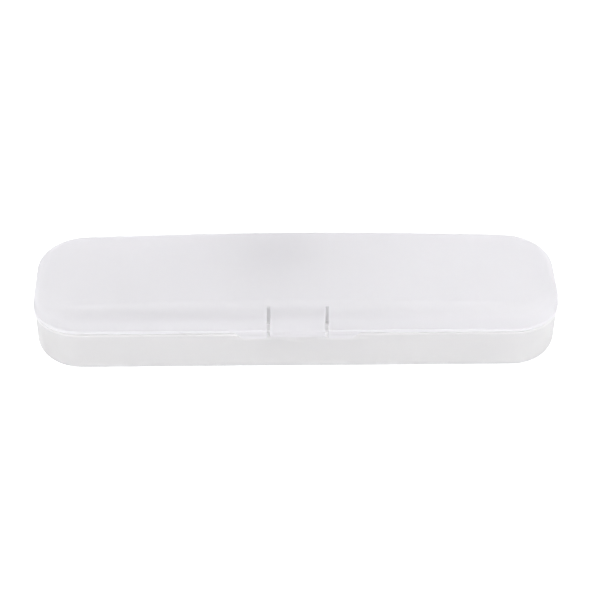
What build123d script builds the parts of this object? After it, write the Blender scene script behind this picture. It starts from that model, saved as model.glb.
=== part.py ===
"""Electric toothbrush travel case: a deep tray, a crowned lid on a pinned hinge and a flexing latch tongue.

Units are millimetres. X runs along the case, Y from the latch side (negative) to the hinge side (positive)
and Z up. The origin is the middle of the flat underside. Every insert stands on the tray floor.
"""
from build123d import *
import math
import os

# ---- outline shared by both shells, measured over the lid rim
case_length = 235.0
case_width = 63.4
corner_radius = 21.9

# ---- heights
parting_height = 22.0
seam_gap = 0.4
lid_rise = 13.8

# ---- lid
lid_wall = 1.3
lid_top_wall = 1.6
lid_lean = 1.0
lid_edge_radius = 6.0
lid_crown_drop = 3.1
lid_bead_proud = 0.2
lid_bead_height = 1.2
lid_bead_round = 0.18

# ---- tray
tray_inset = 0.75
tray_wall = 1.85
tray_floor = 1.8
tray_lean = 0.6
tray_edge_radius = 7.0
rim_bead_inset = 0.45
rim_bead_height = 1.2
rim_bead_round = 0.25
lip_height = 2.5
lip_thickness = 0.8
lip_clearance = 0.3

# ---- dip of the parting line on both sides of the tongue
skirt_drop = 3.2
skirt_flat_half = 22.4
skirt_curve_run = 7.0
skirt_clearance = 0.3

# ---- latch tongue, cut out of the lid's front wall
tongue_width = 24.2
slit_width = 1.5
tongue_drop = 2.0
tongue_root_angle = 49.0
flex_gap = 0.15
finger_lip_proud = 0.6
finger_lip_height = 2.6
hook_reach = 1.2
hook_height = 1.4
hook_lift = 0.4
hook_margin = 2.0

# ---- catch on the tray, behind and below the tongue
pocket_clearance = 0.4
pocket_depth_behind_hook = 0.8
catch_clearance = 0.1
catch_height = 1.2
catch_gap = 0.4
boss_thickness = 1.6
boss_side = 3.0
boss_depth = 10.0
scallop_half_width = 11.0
scallop_height = 3.4
scallop_depth = 0.95

# ---- hinge at the middle of the back
hinge_width = 38.0
knuckle_count = 5
knuckle_radius = 2.6
knuckle_side_gap = 0.3
knuckle_wall_gap = 0.25
knuckle_web_gap = 0.35
knuckle_web_bite = 1.0
gusset_angle = 40.0
pin_radius = 1.0
pin_clearance = 0.05

# ---- inserts on the tray floor
handle_radius = 13.5
handle_axis_y = -12.6
handle_floor_gap = 1.0
saddle_thickness = 2.0
saddle_top = 12.0
saddle_side = 1.1
saddle_wall_gap = 0.3
saddle_foot_radius = 6.0
handle_end_gap = 41.5
handle_saddle_spacing = 102.0
neck_saddle_end_gap = 33.5
neck_radius = 5.0
neck_saddle_top = 16.0
divider_y = 4.6
divider_thickness = 1.6
divider_height = 10.0
divider_end_gap = 23.5
divider_round = 3.0
head_bay_y = 16.9
head_post_end_gap = 21.5
head_post_thickness = 2.2
head_post_width = 11.0
head_post_top = 13.5
head_peg_height = 9.5
head_peg_radius = 1.8
head_peg_length = 17.0
head_peg_nose = 0.8
guide_thickness = 1.2
guide_height = 1.5
guide_clearance = 0.1
guide_length = 12.0

# ---- worked out from the sizes above
rim_height = parting_height + seam_gap
case_height = rim_height + lid_rise
half_width = case_width / 2
lid_taper = math.degrees(math.atan(lid_lean / lid_rise))
tray_taper = math.degrees(math.atan(tray_lean / parting_height))
lid_inner_inset = lid_bead_proud + lid_wall
lip_inset = lid_inner_inset + lip_clearance
cavity_inset = tray_inset + tray_wall
overcut = 5.0
tongue_half = tongue_width / 2
window_half = tongue_half + slit_width
tongue_tip = rim_height - tongue_drop
wall_front_y = -half_width
wall_back_y = half_width
lid_face_y = wall_front_y + lid_bead_proud
lid_inner_y = wall_front_y + lid_inner_inset
hook_tip_y = lid_inner_y + hook_reach
boss_front_y = hook_tip_y + pocket_depth_behind_hook
boss_back_y = boss_front_y + boss_thickness
pocket_floor = tongue_tip - pocket_clearance
hinge_y = wall_back_y + knuckle_radius + knuckle_wall_gap
hinge_z = parting_height + seam_gap / 2
knuckle_pitch = hinge_width / knuckle_count
handle_axis_z = tray_floor + handle_floor_gap + handle_radius
half_length = case_length / 2
handle_saddle_places = {
    "handle_saddle_left": handle_end_gap - half_length,
    "handle_saddle_middle": handle_end_gap - half_length + handle_saddle_spacing,
}
neck_saddle_place = half_length - neck_saddle_end_gap
divider_half_length = half_length - divider_end_gap
head_post_place = half_length - head_post_end_gap


def outline(inset):
    """The rounded rectangle of both shells, drawn in by an inset."""
    return RectangleRounded(case_length - 2 * inset, case_width - 2 * inset, corner_radius - inset)


def prism(inset, bottom, top, taper=0.0):
    """The outline raised from bottom to top, leaning inwards by taper degrees."""
    return extrude(Plane.XY.offset(bottom) * outline(inset), amount=top - bottom, taper=taper)


def ring(outer_inset, inner_inset, bottom, top, taper=0.0):
    """A closed band between two insets of the outline."""
    return prism(outer_inset, bottom, top, taper) - prism(inner_inset, bottom, top, taper)


def along_x(points, half, middle=0.0):
    """A prism along X from a list of (y, z) corners."""
    face = Plane.YZ * make_face(Polyline(*points, close=True))
    return Pos(middle - half, 0, 0) * extrude(face, amount=2 * half, dir=(1, 0, 0))


def box_between(low, high):
    """A box from its lowest to its highest corner."""
    size = [b - a for a, b in zip(low, high)]
    centre = [(a + b) / 2 for a, b in zip(low, high)]
    return Pos(*centre) * Box(*size)


# ---------------------------------------------------------------- lid
def lid_form(inset, top, edge_radius, bottom):
    """The closed form of the lid: leaning walls under a top that is crowned along X."""
    body = prism(inset, bottom, top + 1, lid_taper)
    crown_radius = (half_length**2 + lid_crown_drop**2) / (2 * lid_crown_drop)
    crown = Pos(0, 0, top - crown_radius) * Rot(90, 0, 0) * Cylinder(crown_radius, 2 * case_width)
    body = body & crown
    shoulder = top - lid_crown_drop - 1
    return fillet([e for e in body.edges() if e.center().Z > shoulder], edge_radius)


def dip_profile(half_flat, half_end, level, drop):
    """The dip of the parting line seen from the front, as a face that fills it."""
    low = level - drop
    middle = (half_flat + half_end) / 2
    left = [
        TangentArc((-half_end, level), (-middle, level - drop / 2), tangent=(1, 0)),
        TangentArc((-half_flat, low), (-middle, level - drop / 2), tangent=(-1, 0)),
    ]
    right = [edge.mirror(Plane.YZ) for edge in left]
    closing = [
        Line((-half_flat, low), (half_flat, low)),
        Line((half_end, level), (-half_end, level)),
    ]
    return make_face(Curve() + left + right + closing)


def dip_prism(clearance, raised):
    """The dip as a solid that runs from the middle of the case out past its front."""
    flat = skirt_flat_half + clearance
    face = dip_profile(flat, flat + skirt_curve_run, rim_height, skirt_drop + clearance)
    solid = extrude(Plane.XZ * face, amount=case_width)
    if raised:
        solid += box_between(
            (-flat - skirt_curve_run, -case_width, rim_height),
            (flat + skirt_curve_run, 0, rim_height + raised),
        )
    return solid


def edge_centre():
    """Middle (y, z) of the rounded front edge of the lid, at the top of the crown."""
    z = case_height - lid_edge_radius
    lean = (z - rim_height) * math.tan(math.radians(lid_taper))
    y = lid_face_y + lean + lid_edge_radius / math.cos(math.radians(lid_taper))
    return y, z


def on_edge(angle, radius):
    """A point (y, z) at a radius about the middle of the rounded front edge, angle degrees above level."""
    y, z = edge_centre()
    return (
        y - radius * math.cos(math.radians(angle)),
        z + radius * math.sin(math.radians(angle)),
    )


def window_prism(root_angle, half, bottom):
    """What lies below the tongue's root line, in front of the cavity."""
    far = on_edge(root_angle, lid_edge_radius + overcut)
    near = on_edge(root_angle, lid_edge_radius - 2 * lid_wall)
    front = min(far[0], wall_front_y) - overcut
    return along_x([far, near, (near[0], bottom), (front, bottom), (front, far[1])], half)


def lid_blank():
    """The lid with its skirt, before the tongue is cut out and the rim bead is added."""
    shell = lid_form(lid_bead_proud, case_height, lid_edge_radius, rim_height)
    inner_radius = lid_edge_radius - lid_wall
    shell -= lid_form(lid_inner_inset, case_height - lid_top_wall, inner_radius, rim_height)
    band = ring(lid_bead_proud, lid_inner_inset, rim_height - skirt_drop, rim_height)
    return shell + (band & dip_prism(0, 0))


def lid_bead():
    """The bead round the lid's rim, which runs on over the dips."""
    top = rim_height + lid_bead_height
    bead = prism(0, rim_height, top)
    bead = fillet(bead.edges().filter_by(Plane.XY), lid_bead_round)
    return bead - prism(lid_bead_proud + lid_wall / 2, rim_height, top)


def tongue_root():
    """The (y, z) line that the tongue bends about."""
    turn = math.degrees(flex_gap / lid_edge_radius)
    return on_edge(tongue_root_angle - turn, lid_edge_radius)


def latch_tongue(blank):
    """The tongue: a strip of the lid's front wall with a finger lip outside and a hook inside."""
    turn = math.degrees(flex_gap / lid_edge_radius)
    tongue = blank & window_prism(tongue_root_angle - turn, tongue_half, tongue_tip)
    lip_top = tongue_tip + finger_lip_height
    lip_face = lid_face_y - finger_lip_proud
    finger_lip = along_x(
        [
            (lid_face_y + lid_wall / 2, lip_top),
            (lid_face_y, lip_top),
            (lip_face, lip_top - 2 * finger_lip_proud),
            (lip_face, tongue_tip + finger_lip_proud),
            (lid_face_y, tongue_tip),
            (lid_face_y + lid_wall / 2, tongue_tip),
        ],
        tongue_half,
    )
    hook_low = tongue_tip + hook_lift
    hook = along_x(
        [
            (lid_inner_y - lid_wall / 2, hook_low + hook_height),
            (hook_tip_y, hook_low + hook_height),
            (hook_tip_y, hook_low + hook_height / 2),
            (lid_inner_y, hook_low),
            (lid_inner_y - lid_wall / 2, hook_low),
        ],
        tongue_half - hook_margin,
    )
    return tongue + finger_lip + hook


def knuckle(index):
    """One hinge barrel, without its web."""
    half = (knuckle_pitch - knuckle_side_gap) / 2
    middle = knuckle_middle(index)
    return Pos(middle, hinge_y, hinge_z) * Rot(0, 90, 0) * Cylinder(knuckle_radius, 2 * half)


def knuckle_middle(index):
    """Where along X a knuckle sits."""
    return (index - (knuckle_count - 1) / 2) * knuckle_pitch


def web(index, side):
    """The web that ties a knuckle to its shell: side is 1 above the axis and -1 below it."""
    turn = math.radians(gusset_angle)
    touch_y = hinge_y + knuckle_radius * math.sin(turn)
    touch_z = hinge_z + side * knuckle_radius * math.cos(turn)
    wall = wall_back_y if side > 0 else wall_back_y - tray_inset
    root_y = wall - knuckle_web_bite
    root_z = touch_z + side * (touch_y - root_y) * math.tan(turn)
    level = hinge_z + side * knuckle_web_gap
    points = [(touch_y, touch_z), (root_y, root_z), (root_y, level), (hinge_y, level)]
    half = (knuckle_pitch - knuckle_side_gap) / 2
    return along_x(points, half, knuckle_middle(index))


def pin_bore():
    """The hole through every knuckle."""
    return (
        Pos(0, hinge_y, hinge_z)
        * Rot(0, 90, 0)
        * Cylinder(pin_radius + pin_clearance, hinge_width + 2 * overcut)
    )


def knuckles(first, side):
    """Every second knuckle from first, webbed to the shell on that side."""
    group = [knuckle(i) + web(i, side) for i in range(first, knuckle_count, 2)]
    whole = group[0]
    for piece in group[1:]:
        whole += piece
    return whole


def lid_shell(blank):
    """The lid with its bead, the tongue's window and its share of the knuckles."""
    skirt_low = rim_height - skirt_drop - overcut
    shell = blank + lid_bead()
    shell -= window_prism(tongue_root_angle, window_half, skirt_low)
    return shell + knuckles(1, 1) - pin_bore()


# ---------------------------------------------------------------- tray
def tray_form(inset, depth, edge_radius):
    """The closed form of the tray, hanging down from the parting plane."""
    down = Plane(origin=(0, 0, parting_height), x_dir=(1, 0, 0), z_dir=(0, 0, -1))
    body = extrude(down * outline(inset), amount=depth, taper=tray_taper)
    floor = parting_height - depth
    return fillet([e for e in body.edges() if abs(e.center().Z - floor) < 0.01], edge_radius)


def rim_bead():
    """The bead that runs round the top of the tray's outer wall."""
    low = parting_height - rim_bead_height
    bead = prism(rim_bead_inset, low, parting_height)
    bead = fillet(bead.edges().filter_by(Plane.XY), rim_bead_round)
    return bead - prism(cavity_inset, low, parting_height)


def lip():
    """The thin lip that stands inside the lid's wall."""
    top = parting_height + lip_height
    return ring(lip_inset, lip_inset + lip_thickness, parting_height, top, lid_taper)


def latch_boss():
    """The thickened wall behind the tongue that carries the catch."""
    top = parting_height + lip_height
    foot = pocket_floor - boss_depth
    wall = wall_front_y + tray_inset + tray_wall / 2
    slope = boss_back_y - wall
    return along_x(
        [(wall, foot), (boss_back_y, foot + slope), (boss_back_y, top), (wall, top)],
        window_half + boss_side,
    )


def catch_ledge():
    """The ledge that the hook sits under."""
    hook_top = tongue_tip + hook_lift + hook_height
    low = hook_top + catch_gap
    nose = hook_tip_y + catch_clearance
    slope = catch_height / 2
    return along_x(
        [
            (boss_front_y + boss_thickness / 2, low),
            (nose, low),
            (nose, low + catch_height - slope),
            (boss_front_y, low + catch_height),
            (boss_front_y + boss_thickness / 2, low + catch_height),
        ],
        tongue_half - hook_margin,
    )


def front_relief():
    """What the lid's dipped skirt and the tongue need free on the tray's front."""
    top = parting_height + lip_height + overcut
    low = rim_height - skirt_drop - skirt_clearance - overcut
    band = ring(-overcut, lip_inset, low, top)
    skirt = band & dip_prism(skirt_clearance, overcut)
    front = wall_front_y - overcut
    shelf_half = window_half - skirt_clearance
    shelf = box_between((-shelf_half, front - overcut, low), (shelf_half, 0, pocket_floor))
    pocket = box_between(
        (-window_half, front, pocket_floor), (window_half, boss_front_y, top)
    )
    return (skirt - shelf) + pocket


def scallop():
    """The shallow thumb scoop under the tongue, as the ball that cuts it."""
    back_off = (scallop_half_width**2 - scallop_depth**2) / (2 * scallop_depth)
    rise = (scallop_half_width**2 - scallop_height**2) / (2 * scallop_height)
    ball_radius = math.hypot(back_off, rise + scallop_height)
    wall = wall_front_y + tray_inset
    return Pos(0, wall - back_off, pocket_floor + rise) * Sphere(ball_radius)


def guides(place, y, half):
    """Two low bars on the floor that keep an insert of that half thickness upright."""
    inner = half + guide_clearance
    outer = inner + guide_thickness
    bars = [
        box_between(
            (place + low, y - guide_length / 2, tray_floor - guide_clearance),
            (place + high, y + guide_length / 2, tray_floor + guide_height),
        )
        for low, high in ((-outer, -inner), (inner, outer))
    ]
    return bars[0] + bars[1]


def tray_shell():
    """The tray with its rim, lip, latch boss, guides and its share of the knuckles."""
    shell = tray_form(tray_inset, parting_height, tray_edge_radius)
    shell += rim_bead()
    inner_radius = tray_edge_radius - tray_floor
    shell -= tray_form(cavity_inset, parting_height - tray_floor, inner_radius)
    shell += lip()
    shell += latch_boss()
    shell -= front_relief()
    shell += catch_ledge()
    shell -= scallop() & box_between(
        (-case_length, -case_width, 0), (case_length, 0, pocket_floor)
    )
    shell += knuckles(0, -1)
    shell -= pin_bore()
    for place in (*handle_saddle_places.values(), neck_saddle_place):
        shell += guides(place, handle_axis_y, saddle_thickness / 2)
    for place in (-head_post_place, head_post_place):
        shell += guides(place, head_bay_y, head_post_thickness / 2)
    return shell


def hinge_pin():
    """The plain pin through the knuckles."""
    return Pos(0, hinge_y, hinge_z) * Rot(0, 90, 0) * Cylinder(pin_radius, hinge_width)


# ---------------------------------------------------------------- inserts
def saddle(place, radius, top):
    """An upright plate with a round seat, for the handle or its neck."""
    lean = tray_lean * (parting_height - tray_floor) / parting_height
    front = wall_front_y + cavity_inset + lean + saddle_wall_gap
    back = handle_axis_y + handle_radius + saddle_side
    plate = box_between(
        (place - saddle_thickness / 2, front, tray_floor),
        (place + saddle_thickness / 2, back, top),
    )
    feet = plate.edges().filter_by(Axis.X).group_by(Axis.Z)[0].sort_by(Axis.Y)[0:1]
    plate = fillet(feet, saddle_foot_radius)
    seat_z = max(handle_axis_z, tray_floor + handle_floor_gap + radius)
    seat = Pos(place, handle_axis_y, seat_z) * Rot(0, 90, 0) * Cylinder(radius, 2 * overcut)
    return plate - seat


def centre_divider():
    """The low wall between the handle bay and the brush head bay."""
    wall = box_between(
        (-divider_half_length, divider_y - divider_thickness / 2, tray_floor),
        (divider_half_length, divider_y + divider_thickness / 2, tray_floor + divider_height),
    )
    ends = wall.edges().filter_by(Axis.Y).group_by(Axis.Z)[-1]
    return fillet(ends, divider_round)


def head_post(side):
    """A post with a level peg that a brush head slides onto; side is -1 at the left end."""
    place = side * head_post_place
    half = head_post_thickness / 2
    post = box_between(
        (place - half, head_bay_y - head_post_width / 2, tray_floor),
        (place + half, head_bay_y + head_post_width / 2, head_post_top),
    )
    crown = post.edges().filter_by(Axis.X).group_by(Axis.Z)[-1]
    post = fillet(crown, head_post_width / 3)
    peg = Cylinder(head_peg_radius, head_peg_length)
    peg = chamfer(peg.edges().group_by(Axis.Z)[-1], head_peg_nose)
    turned = Rot(0, -90 * side, 0) * Pos(0, 0, head_peg_length / 2) * peg
    return post + Pos(place, head_bay_y, head_peg_height) * turned


def write(name, shape):
    """Writes one named piece."""
    export_step(shape, os.path.join("parts", name + ".step"))


def main():
    """Builds and writes every piece."""
    os.makedirs("parts", exist_ok=True)
    blank = lid_blank()
    write("tray_shell", tray_shell())
    write("lid_shell", lid_shell(blank))
    write("latch_tongue", latch_tongue(blank))
    write("hinge_pin", hinge_pin())
    for name, place in handle_saddle_places.items():
        write(name, saddle(place, handle_radius, saddle_top))
    write("neck_saddle", saddle(neck_saddle_place, neck_radius, neck_saddle_top))
    write("centre_divider", centre_divider())
    write("head_post_left", head_post(-1))
    write("head_post_right", head_post(1))
    print("hinge axis (y, z):", round(hinge_y, 3), round(hinge_z, 3))
    print("tongue root (y, z):", [round(v, 3) for v in tongue_root()])


main()
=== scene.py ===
"""Dresses an electric toothbrush travel case: its shells, latch tongue, hinge, inserts, finishes and studio.

Sizes are in millimetres, up to the call that writes a mesh, which turns them into metres. X runs along the
case, Y from the latch to the hinge and Z up, with the origin under the middle of the tray.
"""
import logging
import math
from collections.abc import Iterable, Sequence
from dataclasses import dataclass, field
from enum import Enum

import bmesh
import bpy
import numpy as np
from mathutils import Matrix, Vector
from mathutils.geometry import tessellate_polygon


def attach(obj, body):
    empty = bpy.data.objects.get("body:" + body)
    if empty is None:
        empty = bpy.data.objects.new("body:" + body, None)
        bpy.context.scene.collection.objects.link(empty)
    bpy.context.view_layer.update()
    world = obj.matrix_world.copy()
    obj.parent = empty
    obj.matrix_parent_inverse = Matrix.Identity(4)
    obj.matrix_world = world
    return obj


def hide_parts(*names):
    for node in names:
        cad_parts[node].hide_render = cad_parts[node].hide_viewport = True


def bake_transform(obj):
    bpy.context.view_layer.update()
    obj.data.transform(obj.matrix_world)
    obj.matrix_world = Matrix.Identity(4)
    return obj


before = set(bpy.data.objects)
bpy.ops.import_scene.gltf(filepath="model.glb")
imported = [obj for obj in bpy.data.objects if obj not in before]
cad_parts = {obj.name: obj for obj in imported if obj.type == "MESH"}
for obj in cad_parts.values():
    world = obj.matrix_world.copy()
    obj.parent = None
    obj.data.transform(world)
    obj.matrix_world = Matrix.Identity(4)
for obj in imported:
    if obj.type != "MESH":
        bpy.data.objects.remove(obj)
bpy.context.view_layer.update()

MM = 0.001
# The greatest channel that a colour may have.
WHITEST = 0.995
# Points closer than this are merged, on pieces that are laid out here and on copies of a solid.
WELD = 0.002
FINE_WELD = 0.0005
# Places closer than this along the front are one, and marks there are compared to this many digits.
CLOSE = 1e-3
MARK_DIGITS = 5
# Edges sharper than this, in degrees, are shaded sharp.
CREASE = 35.0
# The turns of a small rounding, from its start to its end.
ROUND = np.radians(np.linspace(0, 90, 4))
log = logging.getLogger("travel_case")

Colour = tuple[float, float, float]
Place = tuple[float, float, float]
Point = tuple[float, float]


class Body(Enum):
    """The bodies that move against each other."""

    TRAY = "tray"
    LID = "lid"
    TONGUE = "tongue"


class Slot(Enum):
    """The material slots of the part."""

    TRAY = "tray_plastic"
    LID = "lid_plastic"
    INSERT = "insert_plastic"
    PIN = "pin_steel"


# ------------------------------------------------------------------ shader graphs
class Value:
    """A number socket of a shader graph that Python arithmetic can be written on."""

    def __init__(self, graph: "Graph", socket: bpy.types.NodeSocket) -> None:
        """Wraps a socket of a graph."""
        self.graph = graph
        self.socket = socket

    def __add__(self, other: "Value | float") -> "Value":
        """Adds."""
        return self.graph.math("ADD", self, other)

    def __sub__(self, other: "Value | float") -> "Value":
        """Subtracts."""
        return self.graph.math("SUBTRACT", self, other)

    def __rsub__(self, other: float) -> "Value":
        """Subtracts this value from a number."""
        return self.graph.math("SUBTRACT", other, self)

    def __mul__(self, other: "Value | float") -> "Value":
        """Multiplies."""
        return self.graph.math("MULTIPLY", self, other)

    __radd__ = __add__
    __rmul__ = __mul__


class Graph:
    """A node tree with one way to add any node."""

    def __init__(self, tree: bpy.types.NodeTree) -> None:
        """Empties the tree."""
        self.tree = tree
        tree.nodes.clear()

    def node(self, kind: str, settings: dict | None = None, sockets: dict | None = None) -> bpy.types.Node:
        """Adds a node.

        Args:
            kind: the node's type name.
            settings: its properties, set before its sockets.
            sockets: values or links, by socket name or index.

        Returns:
            The new node.
        """
        made = self.tree.nodes.new(kind)
        for name, value in (settings or {}).items():
            setattr(made, name, value)
        for name, value in (sockets or {}).items():
            socket = made.inputs[name]
            if isinstance(value, Value):
                value = value.socket
            if isinstance(value, bpy.types.NodeSocket):
                self.tree.links.new(value, socket)
            else:
                socket.default_value = value
        return made

    def math(self, operation: str, *terms: "Value | float") -> Value:
        """Adds a Math node on some terms."""
        made = self.node("ShaderNodeMath", {"operation": operation}, dict(enumerate(terms)))
        return Value(self, made.outputs[0])

    def vector(self, operation: str, *terms: bpy.types.NodeSocket | Place) -> bpy.types.NodeSocketCollection:
        """Adds a Vector Math node on some terms and gives its outputs."""
        return self.node("ShaderNodeVectorMath", {"operation": operation}, dict(enumerate(terms))).outputs

    def position(self) -> bpy.types.NodeSocket:
        """The place on the piece, in metres."""
        return self.node("ShaderNodeTexCoord").outputs["Object"]

    def noise(self, place: bpy.types.NodeSocket, size: float, detail: float = 2.0) -> Value:
        """Smooth noise about 0.5, with lumps of a size in millimetres."""
        sockets = {"Vector": place, "Scale": 1 / (size * MM), "Detail": detail, "Roughness": 0.5}
        return Value(self, self.node("ShaderNodeTexNoise", None, sockets).outputs["Fac"])

    def ramp(self, value: Value, low: float, high: float) -> Value:
        """Adds a smooth ramp.

        Args:
            value: what it follows.
            low: where it starts, at 0.
            high: where it is full, at 1.

        Returns:
            The ramp's height.
        """
        sockets = {"Value": value, "From Min": low, "From Max": high}
        made = self.node("ShaderNodeMapRange", {"interpolation_type": "SMOOTHSTEP"}, sockets)
        return Value(self, made.outputs["Result"])

    def blend(self, factor: Value, first: Colour, second: Colour) -> bpy.types.NodeSocket:
        """Mixes two colours."""
        sockets = {0: factor, 6: (*first, 1.0), 7: (*second, 1.0)}
        return self.node("ShaderNodeMix", {"data_type": "RGBA"}, sockets).outputs[2]

    def mixed(self, share: Value | float, first: bpy.types.Node, second: bpy.types.Node) -> bpy.types.Node:
        """Mixes two shaders, with a share of the second."""
        sockets = {0: share, 1: first.outputs[0], 2: second.outputs[0]}
        return self.node("ShaderNodeMixShader", None, sockets)

    def bump(self, height: Value, depth: float) -> bpy.types.NodeSocket:
        """A normal from a height of 0 to 1 that stands for a depth in millimetres."""
        sockets = {"Height": height, "Distance": depth * MM, "Strength": 1.0}
        return self.node("ShaderNodeBump", None, sockets).outputs["Normal"]


def new_material(name: str) -> tuple[bpy.types.Material, Graph]:
    """Makes a node material with nothing in it.

    Args:
        name: the material's name.

    Returns:
        The material and its graph.
    """
    material = bpy.data.materials.new(name)
    material.use_nodes = True
    return material, Graph(material.node_tree)


def scaled(colour: Colour, factor: float) -> Colour:
    """A colour made lighter or darker."""
    return tuple(channel * factor for channel in colour)


# ------------------------------------------------------------------ finishes
@dataclass(frozen=True)
class PaintedPatch:
    """A soft patch of painted shade on the plastic, or of painted light where its depth is negative.

    Its centre, its reach and the size of its edge's wobble are in millimetres. Its core is a share of the
    reach.
    """

    centre: Place
    reach: Place
    depth: float
    core: float = 0.15
    wobble: float = 0.35
    wobble_size: float = 14.0

    def depth_at(self, graph: Graph, place: bpy.types.NodeSocket) -> Value:
        """How much the patch's painted shade darkens each place.

        Args:
            graph: the material's graph.
            place: the place on the piece, in metres.

        Returns:
            The full depth in the core, falling to none at the reach, with a wobbly edge.
        """
        away = graph.vector("SUBTRACT", place, tuple(c * MM for c in self.centre))[0]
        away = graph.vector("MULTIPLY", away, tuple(1 / (r * MM) for r in self.reach))[0]
        length = Value(graph, graph.vector("LENGTH", away)["Value"])
        wobble = (graph.noise(place, self.wobble_size) - 0.5) * self.wobble
        return (1 - graph.ramp(length + wobble, self.core, 1.0)) * self.depth


def painted_patch_pair(centre: Place, reach: Place, depth: float) -> tuple[PaintedPatch, PaintedPatch]:
    """A painted patch on the right and, before it, its mirror on the left."""
    x, y, z = centre
    return PaintedPatch((-x, y, z), reach, depth), PaintedPatch(centre, reach, depth)


@dataclass(frozen=True)
class Band:
    """A lift of a value that starts at one height, is full at another, and stays full beyond it."""

    start: float
    full: float
    lift: float


def banded(graph: Graph, height: Value, bands: Sequence[Band]) -> Value | float:
    """The sum of some level bands.

    Args:
        graph: the material's graph.
        height: the height of each place, in metres.
        bands: the bands.

    Returns:
        What they lift by at each place, together.
    """
    total = 0.0
    for band in bands:
        total = graph.ramp(height, band.start * MM, band.full * MM) * band.lift + total
    return total


@dataclass(frozen=True)
class FrostedPlastic:
    """Moulded frosted polypropylene with a fine spark-eroded texture.

    It mixes a rough, clear base with a milky share. Its painted shade and painted bands make it darker or
    lighter, and along the highlight bands a white, diffuse plastic is mixed in as a painted highlight.
    """

    name: str
    colour: Colour
    roughness: float = 0.85
    painted_shade: tuple[PaintedPatch, ...] = ()
    bands: tuple[Band, ...] = ()
    highlight_bands: tuple[Band, ...] = ()
    shade_reach: float = 0.3
    clouding: float = 0.048
    cloud_size: float = 34.0
    mottling: float = 0.012
    mottle_size: float = 1.26
    mottle_detail: float = 4.0
    grain_size: float = 0.42
    grain_detail: float = 3.0
    grain_depth: float = 0.006
    scuff_size: float = 3.0
    scuff_detail: float = 5.0
    scuff_stretch: Place = (0.25, 1.0, 1.0)
    scuff_change: float = 0.16
    refraction: float = 1.49
    clearness: float = 0.66
    milkiness: float = 0.27

    @property
    def lightest(self) -> float:
        """How many times lighter than its colour the plastic may be."""
        return WHITEST / max(self.colour)

    def material(self) -> bpy.types.Material:
        """Builds the material.

        Returns:
            The finished material.
        """
        material, graph = new_material(self.name)
        place = graph.position()
        height = Value(graph, graph.node("ShaderNodeSeparateXYZ", None, {0: place}).outputs["Z"])
        clear = self._clear(graph, place, self._tone_and_shade(graph, place, height))
        milk = graph.node("ShaderNodeBsdfTranslucent", None, {"Color": (1, 1, 1, 1)})
        plastic = graph.mixed(self.milkiness, clear, milk)
        # painted highlight: a white, diffuse plastic mixed in along the highlight bands
        if self.highlight_bands:
            colour = (*scaled(self.colour, self.lightest), 1)
            solid = graph.node("ShaderNodeBsdfDiffuse", None, {"Color": colour})
            plastic = graph.mixed(banded(graph, height, self.highlight_bands), plastic, solid)
        graph.node("ShaderNodeOutputMaterial", None, {"Surface": plastic.outputs[0]})
        return material

    def _tone_and_shade(self, graph: Graph, place: bpy.types.NodeSocket, height: Value) -> Value:
        """How much lighter than its colour the plastic is, by random tone and by painted shade and painted
        light.

        Args:
            graph: the material's graph.
            place: the place on the piece, in metres.
            height: its height.

        Returns:
            The change at each place, below 0 where it is darker.
        """
        tone_and_shade = (graph.noise(place, self.cloud_size) - 0.5) * self.clouding
        tone_and_shade = tone_and_shade + (graph.noise(place, self.mottle_size, self.mottle_detail) - 0.5) * self.mottling
        # painted shade and painted light: each patch, then the bands
        for patch in self.painted_shade:
            tone_and_shade = tone_and_shade - patch.depth_at(graph, place)
        return tone_and_shade + banded(graph, height, self.bands)

    def _clear(self, graph: Graph, place: bpy.types.NodeSocket, tone_and_shade: Value) -> bpy.types.Node:
        """Adds the rough, clear base.

        Args:
            graph: the material's graph.
            place: the place on the piece, in metres.
            tone_and_shade: how much lighter than its colour it is, by random tone and painted shade.

        Returns:
            The shader node.
        """
        darkest, lightest = 1 - self.shade_reach, self.lightest
        factor = (tone_and_shade + self.shade_reach) * (1 / (lightest - darkest))
        streaks = graph.vector("MULTIPLY", place, self.scuff_stretch)[0]
        scuffs = graph.noise(streaks, self.scuff_size, self.scuff_detail)
        grain = graph.noise(place, self.grain_size, self.grain_detail)
        sockets = {
            "Base Color": graph.blend(factor, scaled(self.colour, darkest), scaled(self.colour, lightest)),
            "Roughness": self.roughness + (scuffs - 0.5) * self.scuff_change,
            "Normal": graph.bump(grain, self.grain_depth),
            "IOR": self.refraction,
            "Transmission Weight": self.clearness,
        }
        return graph.node("ShaderNodeBsdfPrincipled", None, sockets)


@dataclass(frozen=True)
class DrawnSteel:
    """Stainless wire with fine lines along its length."""

    name: str
    colour: Colour
    roughness: float = 0.28
    line_size: float = 0.12
    line_detail: float = 3.0
    line_stretch: Place = (0.02, 1.0, 1.0)
    line_depth: float = 0.002
    line_change: float = 0.2
    darkest: float = 0.86
    lightest: float = 1.1

    def material(self) -> bpy.types.Material:
        """Builds the material.

        Returns:
            The finished material.
        """
        material, graph = new_material(self.name)
        along = graph.vector("MULTIPLY", graph.position(), self.line_stretch)[0]
        lines = graph.noise(along, self.line_size, self.line_detail)
        dark, light = scaled(self.colour, self.darkest), scaled(self.colour, self.lightest)
        sockets = {
            "Base Color": graph.blend(lines, dark, light),
            "Roughness": self.roughness + (lines - 0.5) * self.line_change,
            "Normal": graph.bump(lines, self.line_depth),
            "Metallic": 1.0,
        }
        shader = graph.node("ShaderNodeBsdfPrincipled", None, sockets)
        graph.node("ShaderNodeOutputMaterial", None, {"Surface": shader.outputs[0]})
        return material


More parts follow.
